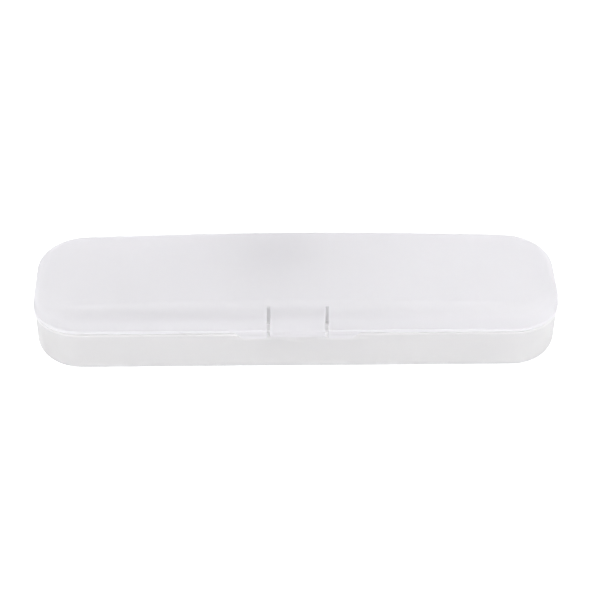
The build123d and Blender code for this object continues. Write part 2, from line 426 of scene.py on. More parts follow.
class Finishes:
    """The materials of the case, and the places in millimetres where each has painted shade, painted light or
    a painted highlight.
    """

    # the tray is the lid's plastic: its darker, more neutral colour is painted shade
    LID_COLOUR = (0.92, 0.914, 0.934)
    TRAY_SHADED_COLOUR = (0.905, 0.901, 0.901)
    INSERT_COLOUR = (0.89, 0.89, 0.9)
    STEEL_COLOUR = (0.62, 0.63, 0.65)

    LID_PAINTED_SHADE = (
        # painted shade in the dips beside the tongue, under the bead, and painted light at their edge
        PaintedPatch((-20.5, -31.0, 21.1), (11.5, 3.0, 0.8), 0.08),
        PaintedPatch((20.5, -31.0, 21.1), (11.5, 3.0, 0.8), 0.07),
        *painted_patch_pair((20.5, -31.0, 20.0), (10.0, 3.0, 0.8), -0.06),
        # painted shade: the darker patch in the top, and the dark foot of the rounded edge
        PaintedPatch((-8.0, 7.0, 36.0), (27.0, 27.0, 60.0), 0.05),
        PaintedPatch((-42.0, -31.0, 31.8), (168.0, 6.0, 4.6), 0.08),
        # painted light on the tongue, the wall to the left of it, and the top at the right and at the back
        PaintedPatch((0.0, -31.0, 26.0), (15.0, 8.0, 9.0), -0.04),
        PaintedPatch((-62.0, -31.5, 26.0), (72.0, 4.0, 4.5), -0.035),
        PaintedPatch((74.0, 8.0, 32.0), (100.0, 60.0, 40.0), -0.045),
        PaintedPatch((-80.0, 28.0, 36.0), (60.0, 34.0, 30.0), -0.04),
        # painted highlight on the edges of the two slits
        *painted_patch_pair((12.9, -31.0, 27.0), (2.6, 5.0, 12.0), -0.12),
        # painted shade at the two ends
        PaintedPatch((-118.0, -5.0, 30.0), (11.0, 60.0, 30.0), 0.04),
        PaintedPatch((118.0, -5.0, 30.0), (15.0, 60.0, 30.0), 0.055),
    )
    LID_PAINTED_BANDS = (
        # painted highlight from the bead down, painted shade in the dipped skirt, painted highlight again at
        # its lower edge
        Band(23.6, 23.0, 0.1),
        Band(22.2, 21.6, -0.08),
        Band(19.9, 19.6, 0.1),
    )
    LID_BEAD_HIGHLIGHTS = (
        # painted highlight, as a white, diffuse plastic: the lower edge of the dips, then the bead from its
        # foot to its top
        Band(20.3, 20.0, 0.35),
        Band(22.3, 22.5, 0.36),
        Band(23.5, 23.7, -0.36),
    )
    # painted light on the finger lip
    TONGUE_PAINTED_BANDS = (Band(23.0, 22.0, 0.05),)

    TRAY_PAINTED_SHADE = (
        # painted shade on the pocket's wall behind the slits
        PaintedPatch((-12.9, -28.6, 22.0), (2.6, 3.0, 6.0), 0.26),
        PaintedPatch((13.2, -28.6, 22.0), (2.6, 3.0, 6.0), 0.12),
        # painted light on the front under the dips
        *painted_patch_pair((20.0, -31.4, 18.9), (14.0, 3.0, 1.6), -0.2),
        # painted shade at the two ends
        PaintedPatch((-118.0, -5.0, 12.0), (24.0, 60.0, 30.0), 0.06),
        PaintedPatch((118.0, -5.0, 12.0), (20.0, 60.0, 30.0), 0.05),
    )
    TRAY_PAINTED_BANDS = (
        # painted highlight on the bead, painted shade in the neck over it, lifted back on the rim, painted
        # shade at the bottom edge
        Band(20.1, 20.4, 0.17),
        Band(21.45, 21.58, -0.3),
        Band(21.95, 22.0, 0.14),
        Band(4.0, 1.3, -0.06),
    )
    # painted highlight, as a white, diffuse plastic: the bead, from its foot to its top
    TRAY_BEAD_HIGHLIGHTS = (Band(20.4, 20.5, 0.36), Band(21.3, 21.5, -0.36))

    def __init__(self) -> None:
        """Builds the materials."""
        lid, tray = self.LID_COLOUR, self.TRAY_SHADED_COLOUR
        self.lid = FrostedPlastic("frosted_lid", lid, painted_shade=self.LID_PAINTED_SHADE, bands=self.LID_PAINTED_BANDS,
                                  highlight_bands=self.LID_BEAD_HIGHLIGHTS).material()
        self.tray = FrostedPlastic("frosted_tray", tray, painted_shade=self.TRAY_PAINTED_SHADE, bands=self.TRAY_PAINTED_BANDS,
                                   highlight_bands=self.TRAY_BEAD_HIGHLIGHTS).material()
        self.tongue = FrostedPlastic("frosted_tongue", lid, painted_shade=self.LID_PAINTED_SHADE,
                                     bands=self.TONGUE_PAINTED_BANDS).material()
        self.lid_barrels = FrostedPlastic("frosted_lid_barrel", lid).material()
        self.tray_barrels = FrostedPlastic("frosted_tray_barrel", tray).material()
        self.inserts = FrostedPlastic("frosted_insert", self.INSERT_COLOUR, roughness=0.8).material()
        self.pin = DrawnSteel("drawn_steel", self.STEEL_COLOUR).material()


# ------------------------------------------------------------------ meshes
class Skin:
    """Collects points and faces in millimetres and writes them as one closed mesh."""

    def __init__(self) -> None:
        """Starts empty."""
        self.points: list[Place] = []
        self.faces: list[tuple[int, ...]] = []

    def row(self, points: Iterable[Sequence[float]]) -> range:
        """Adds a row of points.

        Args:
            points: the points, in order.

        Returns:
            Their numbers.
        """
        start = len(self.points)
        self.points.extend(tuple(float(c) for c in point) for point in points)
        return range(start, len(self.points))

    def strip(self, low: Sequence[int], high: Sequence[int], keep: Sequence[bool] | None = None,
              closed: bool = True) -> None:
        """Joins two rows with faces.

        Args:
            low: the first row's point numbers.
            high: the second row's, as many.
            keep: for each column, whether its face is made. Without it, all are.
            closed: whether the last column runs back to the first.
        """
        count = len(low)
        for i in range(count if closed else count - 1):
            if keep is None or keep[i]:
                j = (i + 1) % count
                self.faces.append((low[i], low[j], high[j], high[i]))

    def face(self, corners: Sequence[int]) -> None:
        """Adds one face."""
        self.faces.append(tuple(corners))

    def mesh(self, name: str) -> bpy.types.Mesh:
        """Writes the mesh in metres.

        Args:
            name: the mesh's name.

        Returns:
            The mesh, as it was collected.
        """
        mesh = bpy.data.meshes.new(name)
        mesh.from_pydata([tuple(c * MM for c in point) for point in self.points], [], self.faces)
        return mesh

    def mesh_object(self, name: str) -> bpy.types.Object:
        """Writes the mesh as a finished piece."""
        return finish_mesh(name, self.mesh(name))


def linked(name: str, data: bpy.types.ID) -> bpy.types.Object:
    """Makes an object in the scene.

    Args:
        name: the object's name.
        data: its mesh, light or camera.

    Returns:
        The object.
    """
    made = bpy.data.objects.new(name, data)
    bpy.context.scene.collection.objects.link(made)
    return made


def finish_mesh(name: str, mesh: bpy.types.Mesh, weld: float = WELD) -> bpy.types.Object:
    """Welds a mesh, turns it outwards, shades it smooth up to the crease angle and makes it a piece.

    Args:
        name: the piece's name.
        mesh: its mesh, in metres.
        weld: points closer than this, in millimetres, become one.

    Returns:
        The piece, linked to the scene.
    """
    work = bmesh.new()
    work.from_mesh(mesh)
    bmesh.ops.remove_doubles(work, verts=work.verts, dist=weld * MM)
    bmesh.ops.dissolve_degenerate(work, edges=work.edges, dist=weld * MM)
    bmesh.ops.recalc_face_normals(work, faces=work.faces)
    for face in work.faces:
        face.smooth = True
    for edge in work.edges:
        edge.smooth = edge.is_manifold and edge.calc_face_angle(math.pi) < math.radians(CREASE)
    work.to_mesh(mesh)
    open_edges = sum(not edge.is_manifold for edge in work.edges)
    work.free()
    log.info("%s: %d faces, %d open edges", name, len(mesh.polygons), open_edges)
    return linked(name, mesh)


def dress(piece: bpy.types.Object, body: Body, finish: bpy.types.Material,
          nodes: Sequence[str] = ()) -> None:
    """Gives a piece its finish and its body, and hides the solids that it stands for.

    Args:
        piece: the piece, in place.
        body: the body that it moves with.
        finish: the material.
        nodes: names of the solids that it stands for.
    """
    piece.data.materials.clear()
    piece.data.materials.append(finish)
    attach(piece, body.value)
    if nodes:
        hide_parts(*nodes)


def arc(centre: Point, radius: float, start: float, end: float, steps: int) -> list[Point]:
    """Points on an arc from one angle to another, both in degrees."""
    angles = np.radians(np.linspace(start, end, steps + 1))
    return [(centre[0] + radius * math.cos(a), centre[1] + radius * math.sin(a)) for a in angles]


def shares(steps: int) -> list[float]:
    """Even shares of a way, each step's end, up to 1."""
    return [step / steps for step in range(1, steps + 1)]


def pulled_in(profile: Sequence[Point], amount: float, least: float = 0.3) -> list[Point]:
    """A profile with every side moved inwards.

    Args:
        profile: a closed profile, anticlockwise.
        amount: how far its sides move.
        least: the least share that a corner counts with, where a straight has 2 and a fold 0, so that a
            sharp corner doesn't run away.

    Returns:
        The new profile, with the same number of points.
    """
    points = np.array(profile)
    ahead = np.roll(points, -1, axis=0) - points
    ahead /= np.linalg.norm(ahead, axis=1)[:, None]
    inward = np.column_stack([-ahead[:, 1], ahead[:, 0]])
    before = np.roll(inward, 1, axis=0)
    share = 1 + np.sum(inward * before, axis=1)
    moved = points + amount * (inward + before) / np.maximum(share, least)[:, None]
    return [tuple(point) for point in moved]


@dataclass(frozen=True)
class Bar:
    """A solid of one profile along X, with rounded ends and, where it has one, a round bore."""

    profile: Sequence[Point]
    half: float
    rounding: float
    middle: float = 0.0
    bore: tuple[float, float, float] | None = None
    bore_steps: int = 48

    def add_to(self, skin: Skin) -> None:
        """Adds the bar's points and faces to a skin.

        Args:
            skin: what it is added to.
        """
        outer, inner = [], []
        bore = arc(self.bore[:2], self.bore[2], 0, 360, self.bore_steps)[:-1] if self.bore else []
        ends = [(-self.half + self.rounding * (1 - math.cos(t)), self.rounding * (1 - math.sin(t)))
                for t in ROUND]
        for x, drop in ends + [(-x, drop) for x, drop in ends[::-1]]:
            outer.append(skin.row((self.middle + x, y, z) for y, z in pulled_in(self.profile, drop)))
            inner.append(skin.row((self.middle + x, y, z) for y, z in bore))
        for rows in (outer, inner):
            for low, high in zip(rows, rows[1:]):
                skin.strip(low, high)
        for index in (0, -1):
            loops = [rows[index] for rows in (outer, inner) if rows[index]]
            numbers = [number for loop in loops for number in loop]
            flat = [[Vector((skin.points[n][1], skin.points[n][2], 0)) for n in loop] for loop in loops]
            for corners in tessellate_polygon(flat):
                skin.face([numbers[c] for c in corners])


@dataclass(frozen=True)
class Softener:
    """Rounds the sharp edges of a copy of a solid. Its two angles, flat and sharp, are in degrees."""

    rounding: float
    flat: float = 0.2
    sharp: float = 30.0
    steps: int = 3
    fullness: float = 0.5

    def copy(self, node: str, name: str) -> bpy.types.Object:
        """Makes the rounded copy.

        Args:
            node: the solid.
            name: the name of the new piece.

        Returns:
            The new piece.
        """
        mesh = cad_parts[node].data.copy()
        work = bmesh.new()
        work.from_mesh(mesh)
        bmesh.ops.remove_doubles(work, verts=work.verts, dist=FINE_WELD * MM)
        flat, sharp = math.radians(self.flat), math.radians(self.sharp)
        bmesh.ops.dissolve_limit(work, angle_limit=flat, verts=work.verts, edges=work.edges)
        edges = [e for e in work.edges if e.is_manifold and e.calc_face_angle(0) > sharp]
        bmesh.ops.bevel(work, geom=edges, offset=self.rounding * MM, segments=self.steps,
                        profile=self.fullness, affect="EDGES", clamp_overlap=True)
        work.to_mesh(mesh)
        work.free()
        piece = finish_mesh(name, mesh, FINE_WELD)
        weigh(piece)
        return piece


def weigh(piece: bpy.types.Object) -> None:
    """Makes a piece's shading follow its large faces.

    Args:
        piece: the piece.
    """
    modifier = piece.modifiers.new("weigh", "WEIGHTED_NORMAL")
    modifier.keep_sharp = True
    bake(piece)


def bake(piece: bpy.types.Object) -> None:
    """Turns a piece's live modifiers into a plain mesh.

    Args:
        piece: the piece.
    """
    bpy.context.view_layer.update()
    evaluated = piece.evaluated_get(bpy.context.evaluated_depsgraph_get())
    mesh = bpy.data.meshes.new_from_object(evaluated)
    piece.modifiers.clear()
    piece.data = mesh
    mesh.name = piece.name


# ------------------------------------------------------------------ repeats
class RepeatTree:
    """A geometry node tree that repeats a unit along X, about the middle."""

    INPUTS = (("Count", "NodeSocketInt"), ("Pitch", "NodeSocketFloat"), ("Finish", "NodeSocketMaterial"))

    def __init__(self) -> None:
        """Builds the tree."""
        self.tree = bpy.data.node_groups.new("repeat_along_case", "GeometryNodeTree")
        graph = Graph(self.tree)
        sockets = self.tree.interface
        sockets.new_socket("Unit", in_out="INPUT", socket_type="NodeSocketGeometry")
        for name, kind in self.INPUTS:
            sockets.new_socket(name, in_out="INPUT", socket_type=kind)
        sockets.new_socket("Row", in_out="OUTPUT", socket_type="NodeSocketGeometry")
        given = graph.node("NodeGroupInput").outputs
        pitch = Value(graph, given["Pitch"])
        start = (Value(graph, given["Count"]) - 1) * pitch * -0.5
        step = graph.node("ShaderNodeCombineXYZ", None, {"X": pitch}).outputs[0]
        first = graph.node("ShaderNodeCombineXYZ", None, {"X": start}).outputs[0]
        places = {"Count": given["Count"], "Start Location": first, "Offset": step}
        line = graph.node("GeometryNodeMeshLine", {"mode": "OFFSET"}, places).outputs[0]
        units = {"Points": line, "Instance": given["Unit"]}
        placed = graph.node("GeometryNodeInstanceOnPoints", None, units).outputs[0]
        real = graph.node("GeometryNodeRealizeInstances", None, {"Geometry": placed}).outputs[0]
        look = {"Geometry": real, "Material": given["Finish"]}
        done = graph.node("GeometryNodeSetMaterial", None, look).outputs[0]
        graph.node("NodeGroupOutput", None, {"Row": done})

    def repeat(self, unit: bpy.types.Object, count: int, pitch: float, finish: bpy.types.Material) -> None:
        """Repeats a unit and leaves the row as the piece's plain mesh.

        Args:
            unit: the piece that holds one unit, at X = 0.
            count: how many units.
            pitch: from one to the next, in millimetres.
            finish: the material.
        """
        modifier = unit.modifiers.new("repeat", "NODES")
        modifier.node_group = self.tree
        values = {"Count": count, "Pitch": pitch * MM, "Finish": finish}
        for item in self.tree.interface.items_tree:
            if item.name in values:
                modifier[item.identifier] = values[item.name]
        bake(unit)


# ------------------------------------------------------------------ outline of both shells
@dataclass(frozen=True)
class Case:
    """Sizes that the pieces share."""

    length: float = 235.0
    width: float = 63.4
    corner: float = 21.9
    parting: float = 22.0
    rim: float = 22.4
    height: float = 36.2
    crown_drop: float = 3.1
    lid_lean: float = 1.0
    tray_lean: float = 0.6
    tray_inset: float = 0.75
    floor: float = 1.8
    hinge_y: float = 34.55
    hinge_z: float = 22.2

    @property
    def front(self) -> float:
        """The Y of the outline's front."""
        return -self.width / 2

    @property
    def crown_radius(self) -> float:
        """Radius of the lid's crown."""
        return (self.length**2 / 4 + self.crown_drop**2) / (2 * self.crown_drop)

    @property
    def lid_taper(self) -> float:
        """The angle at which the lid's wall leans in."""
        return math.atan(self.lid_lean / (self.height - self.rim))

    @property
    def tray_taper(self) -> float:
        """The angle at which the tray's wall leans in."""
        return math.atan(self.tray_lean / self.parting)


@dataclass(frozen=True)
class Dip:
    """The dip of the parting line on both sides of the tongue."""

    level: float
    drop: float
    flat: float
    run: float = 7.0
    steps: int = 14

    def height(self, x: float) -> float:
        """The parting line's height.

        Args:
            x: where along the front.

        Returns:
            The low level as far as the flat, the full level past the run, and a double bend between them.
        """
        rise, half = self.drop / 2, self.run / 2
        bend = (half * half + rise * rise) / (2 * rise)
        away = abs(x) - self.flat
        if away <= 0:
            return self.level - self.drop
        if away >= self.run:
            return self.level
        if away <= half:
            return self.level - self.drop + bend - math.sqrt(bend * bend - away * away)
        return self.level - bend + math.sqrt(bend * bend - (self.run - away) ** 2)

    def marks(self) -> list[float]:
        """X values that follow its two bends closely."""
        return list(np.linspace(self.flat, self.flat + self.run, self.steps + 1))


@dataclass
class Outline:
    """The rounded rectangle as a loop of stations, each an anchor and the direction outwards.

    The front runs from left to right first, then the right end, the back and the left end, so that a front
    station and its mirror on the back make a rung across the case.
    """

    case: Case
    marks: Sequence[float]
    pitch: float = 3.2
    corner_steps: int = 26
    rungs: int = 8
    anchors: np.ndarray = field(init=False)
    outward: np.ndarray = field(init=False)
    chain: int = field(init=False)

    def __post_init__(self) -> None:
        """Lays out the stations."""
        half_x = self.case.length / 2 - self.case.corner
        half_y = self.case.width / 2 - self.case.corner
        anchors = [(-half_x, -half_y)] * (self.corner_steps + 1)
        outward = arc((0, 0), 1, 180, 270, self.corner_steps)
        for x in self._front_places(half_x):
            anchors.append((x, -half_y))
            outward.append((0.0, -1.0))
        anchors += [(half_x, -half_y)] * (self.corner_steps + 1)
        outward += arc((0, 0), 1, 270, 360, self.corner_steps)
        self.chain = len(anchors)
        across = np.linspace(-half_y, half_y, self.rungs + 1)[1:-1]
        right = [((half_x, y), (1.0, 0.0)) for y in across]
        back = [((a[0], -a[1]), (n[0], -n[1])) for a, n in zip(anchors[::-1], outward[::-1])]
        left = [((-half_x, y), (-1.0, 0.0)) for y in across[::-1]]
        rest = right + back + left
        self.anchors = np.array(anchors + [a for a, _ in rest])
        self.outward = np.array(outward + [n for _, n in rest])

    def _front_places(self, half: float) -> list[float]:
        """X values along the front: an even pitch, and every mark on both sides.

        Args:
            half: where the front's straight ends.

        Returns:
            The values, without the two ends.
        """
        marks = sorted({round(sign * mark, MARK_DIGITS) for mark in self.marks for sign in (-1, 1)})
        stops = [-half, *marks, half]
        places = []
        for start, end in zip(stops, stops[1:]):
            steps = max(1, round((end - start) / self.pitch))
            places += list(np.linspace(start, end, steps + 1)[:-1])
        return places[1:]

    def front_x(self) -> np.ndarray:
        """Where each station stands along the front.

        Returns:
            Its X on the straight front, and infinity elsewhere.
        """
        x = np.full(len(self.anchors), math.inf)
        front = slice(self.corner_steps, self.chain - self.corner_steps)
        x[front] = self.anchors[front, 0]
        return x

    def points(self, insets: np.ndarray | float, heights: np.ndarray | float) -> np.ndarray:
        """A row of points, one for every station.

        Args:
            insets: how far in each one stands, or one number for all.
            heights: the same for their heights.

        Returns:
            The points.
        """
        reach = self.case.corner - np.broadcast_to(insets, len(self.anchors))
        heights = np.broadcast_to(heights, len(self.anchors))
        return np.column_stack([self.anchors + reach[:, None] * self.outward, heights])

    def cap(self, skin: Skin, row: Sequence[int]) -> None:
        """Closes a row with rungs across the case, straight from front to back.

        Args:
            skin: what the faces are added to.
            row: the row's point numbers.
        """
        last = len(row) - 1
        grid = []
        for i in range(self.chain):
            back = last - (self.rungs - 1) - i
            if i in (0, self.chain - 1):
                side = range(last, back, -1) if i == 0 else range(self.chain, back)
                grid.append([row[i], *(row[k] for k in side), row[back]])
                continue
            a, b = np.array(skin.points[row[i]]), np.array(skin.points[row[back]])
            inner = skin.row(a + (b - a) * k / self.rungs for k in range(1, self.rungs))
            grid.append([row[i], *inner, row[back]])
        for low, high in zip(grid, grid[1:]):
            skin.strip(low, high, closed=False)


# ------------------------------------------------------------------ lid
@dataclass
class Crowned:
    """One surface of the lid: a leaning wall that rolls over a rounded edge into the crown."""

    case: Case
    inset: float
    top: float
    edge: float
    rounds: int = 8

    def centres(self, outline: Outline) -> tuple[np.ndarray, np.ndarray, np.ndarray]:
        """Where the rolling ball that makes the rounded edge sits, found in a few rounds.

        Args:
            outline: the stations.

        Returns:
            The ball's insets, its heights and the crown's directions, each by station.
        """
        taper = self.case.lid_taper
        radius = self.case.crown_radius
        axis = self.top - radius
        insets = self.inset + self.edge
        for _ in range(self.rounds):
            x = outline.points(insets, 0.0)[:, 0]
            heights = axis + np.sqrt((radius - self.edge) ** 2 - x**2)
            insets = self.inset + (heights - self.case.rim) * math.tan(taper) + self.edge / math.cos(taper)
        crown = np.column_stack([x, np.zeros_like(x), heights - axis])
        return insets, heights, crown / np.linalg.norm(crown, axis=1)[:, None]

    def edge_rows(self, outline: Outline, turns: Sequence[float]) -> list[np.ndarray]:
        """Rows of points over the rounded edge.

        Args:
            outline: the stations.
            turns: shares of the turn from the wall to the crown, one for each row.

        Returns:
            The rows.
        """
        insets, heights, crown = self.centres(outline)
        taper = self.case.lid_taper
        wall = np.column_stack([outline.outward * math.cos(taper), np.full(len(insets), math.sin(taper))])
        centre = outline.points(insets, heights)
        between = np.arccos(np.clip(np.sum(wall * crown, axis=1), -1, 1))[:, None]
        rows = []
        for turn in turns:
            part = np.sin((1 - turn) * between) * wall + np.sin(turn * between) * crown
            rows.append(centre + self.edge * part / np.sin(between))
        return rows

    def front_turn(self, angle: float) -> float:
        """The share of the turn at an angle above level, in degrees, at the middle of the front."""
        start = math.degrees(self.case.lid_taper)
        return (angle - start) / (90 - start)

    def front_centre(self) -> Point:
        """The middle of the rounded edge at the middle of the front.

        Returns:
            Its Y and Z.
        """
        z = self.top - self.edge
        taper = self.case.lid_taper
        y = self.case.front + self.inset + (z - self.case.rim) * math.tan(taper) + self.edge / math.cos(taper)
        return y, z

    def wall_inset(self, height: np.ndarray | float) -> np.ndarray | float:
        """How far in the wall stands at a height."""
        return self.inset + np.maximum(height - self.case.rim, 0) * math.tan(self.case.lid_taper)


@dataclass
class Lid:
    """The lid: a closed shell with a rim bead, a dipped skirt and the tongue's window."""

    case: Case
    finish: bpy.types.Material
    wall: float = 1.3
    top_wall: float = 1.6
    edge: float = 6.0
    bead_proud: float = 0.2
    bead_height: float = 1.2
    bead_round: float = 0.18
    rim_round: float = 0.25
    dip_drop: float = 3.2
    dip_flat: float = 22.4
    window_half: float = 13.6
    root_angle: float = 49.0
    slit_round: float = 0.16
    slit_bend: float = 0.35
    window_mark: float = 8.0
    lower_turns: int = 8
    upper_turns: int = 8
    outer_wall_rows: int = 7
    inner_wall_rows: int = 4

    @property
    def dip(self) -> Dip:
        """The dip of its rim."""
        return Dip(self.case.rim, self.dip_drop, self.dip_flat)

    @property
    def outer(self) -> Crowned:
        """The outside."""
        return Crowned(self.case, self.bead_proud, self.case.height, self.edge)

    @property
    def inner(self) -> Crowned:
        """The inside."""
        return Crowned(self.case, self.bead_proud + self.wall, self.case.height - self.top_wall,
                       self.edge - self.wall)

    def inner_root_angle(self) -> float:
        """Where the inner edge crosses the tongue's root plane.

        Returns:
            The angle above level on the inner edge, in degrees.
        """
        outer, inner = np.array(self.outer.front_centre()), np.array(self.inner.front_centre())
        turn = math.radians(self.root_angle)
        ray = np.array([-math.cos(turn), math.sin(turn)])
        gap = outer - inner
        along = -gap @ ray + math.sqrt((gap @ ray) ** 2 - gap @ gap + self.inner.edge**2)
        hit = gap + along * ray
        return math.degrees(math.atan2(hit[1], -hit[0]))

    def turns(self, surface: Crowned, root: float) -> list[float]:
        """Shares of the turn over the rounded edge, with one on the tongue's root.

        Args:
            surface: the outside or the inside.
            root: the root's angle there, in degrees.

        Returns:
            The shares, from the wall to the crown.
        """
        split = surface.front_turn(root)
        low = np.linspace(0, split, self.lower_turns + 1)
        return [*low, *np.linspace(split, 1, self.upper_turns + 1)[1:]]

    def outline(self) -> Outline:
        """The stations of the lid."""
        slit = [self.window_half + self.slit_round * share for share in (0, self.slit_bend, 1)]
        return Outline(self.case, [*self.dip.marks(), *slit, self.window_mark])

    def build(self) -> bpy.types.Object:
        """Builds the lid.

        Returns:
            The piece, not yet dressed.
        """
        outline, skin = self.outline(), Skin()
        x = outline.front_x()
        low = np.array([self.dip.height(place) for place in x])
        inside_half = np.abs(x) < self.window_half + CLOSE
        window = inside_half & np.roll(inside_half, -1)
        outside = [skin.row(row) for row in self._outer_rows(outline, low)]
        inside = [outside[0], *(skin.row(row) for row in self._inner_rows(outline))]
        root_out = len(outside) - 1 - self.upper_turns
        root_in = len(inside) - 1 - self.upper_turns
        for rows, root in ((outside, root_out), (inside, root_in)):
            for level, (a, b) in enumerate(zip(rows, rows[1:])):
                skin.strip(a, b, ~window if level < root else None)
            outline.cap(skin, rows[-1])
        skin.strip(outside[root_out], inside[root_in], window)
        for i in np.flatnonzero(np.abs(np.abs(x) - self.window_half) < CLOSE):
            wall = [outside[k][i] for k in range(root_out + 1)]
            skin.face(wall + [inside[k][i] for k in range(root_in, 0, -1)])
        return skin.mesh_object("lid")

    def _slit_softening(self, outline: Outline) -> np.ndarray:
        """How far the outside is drawn in to round the window's edges.

        Args:
            outline: the stations.

        Returns:
            The depth at each station.
        """
        away = np.abs(outline.front_x()) - self.window_half
        share = 1 - np.clip(away, 0, self.slit_round) / self.slit_round
        return np.where(away > -CLOSE, self.slit_round * (1 - np.sqrt(1 - share**2)), 0.0)

    def _outer_rows(self, outline: Outline, low: np.ndarray) -> list[np.ndarray]:
        """Rows of the outside, from the inner edge of the rim face up to the crown.

        Args:
            outline: the stations.
            low: the rim's height at each of them.

        Returns:
            The rows.
        """
        rim, proud = self.case.rim, self.bead_proud
        soft = self._slit_softening(outline)
        room = np.minimum(self.rim_round, rim - low)
        rows = [outline.points(proud + self.wall, low)]
        for turn in ROUND:
            insets = proud + room * (1 - math.sin(turn))
            rows.append(outline.points(insets + soft * math.sin(turn), low + room * (1 - math.cos(turn))))
        rows.append(outline.points(proud + soft, rim))
        foot = rim + self.bead_height
        for start, way, turns in ((rim, 1, ROUND), (foot, -1, ROUND[::-1])):
            for turn in turns:
                level = start + way * self.bead_round * (1 - math.cos(turn))
                rows.append(outline.points(self.bead_round * (1 - math.sin(turn)) + soft, level))
        edge_rows = self.outer.edge_rows(outline, self.turns(self.outer, self.root_angle))
        top = edge_rows[0][:, 2]
        for share in (0.0, *shares(self.outer_wall_rows)[:-1]):
            height = foot + (top - foot) * share
            rows.append(outline.points(self.outer.wall_inset(height) + soft, height))
        for row in edge_rows:
            row[:, 1] += soft
        return rows + edge_rows

    def _inner_rows(self, outline: Outline) -> list[np.ndarray]:
        """Rows of the inside, from above the rim face up to the inner crown.

        Args:
            outline: the stations.

        Returns:
            The rows.
        """
        rim = self.case.rim
        rows = [outline.points(self.inner.inset, rim)]
        edge_rows = self.inner.edge_rows(outline, self.turns(self.inner, self.inner_root_angle()))
        top = edge_rows[0][:, 2]
        for share in shares(self.inner_wall_rows + 1)[:-1]:
            height = rim + (top - rim) * share
            rows.append(outline.points(self.inner.wall_inset(height), height))
        return rows + edge_rows

    def add(self) -> None:
        """Builds and dresses the lid."""
        dress(self.build(), Body.LID, self.finish, ["lid_shell"])


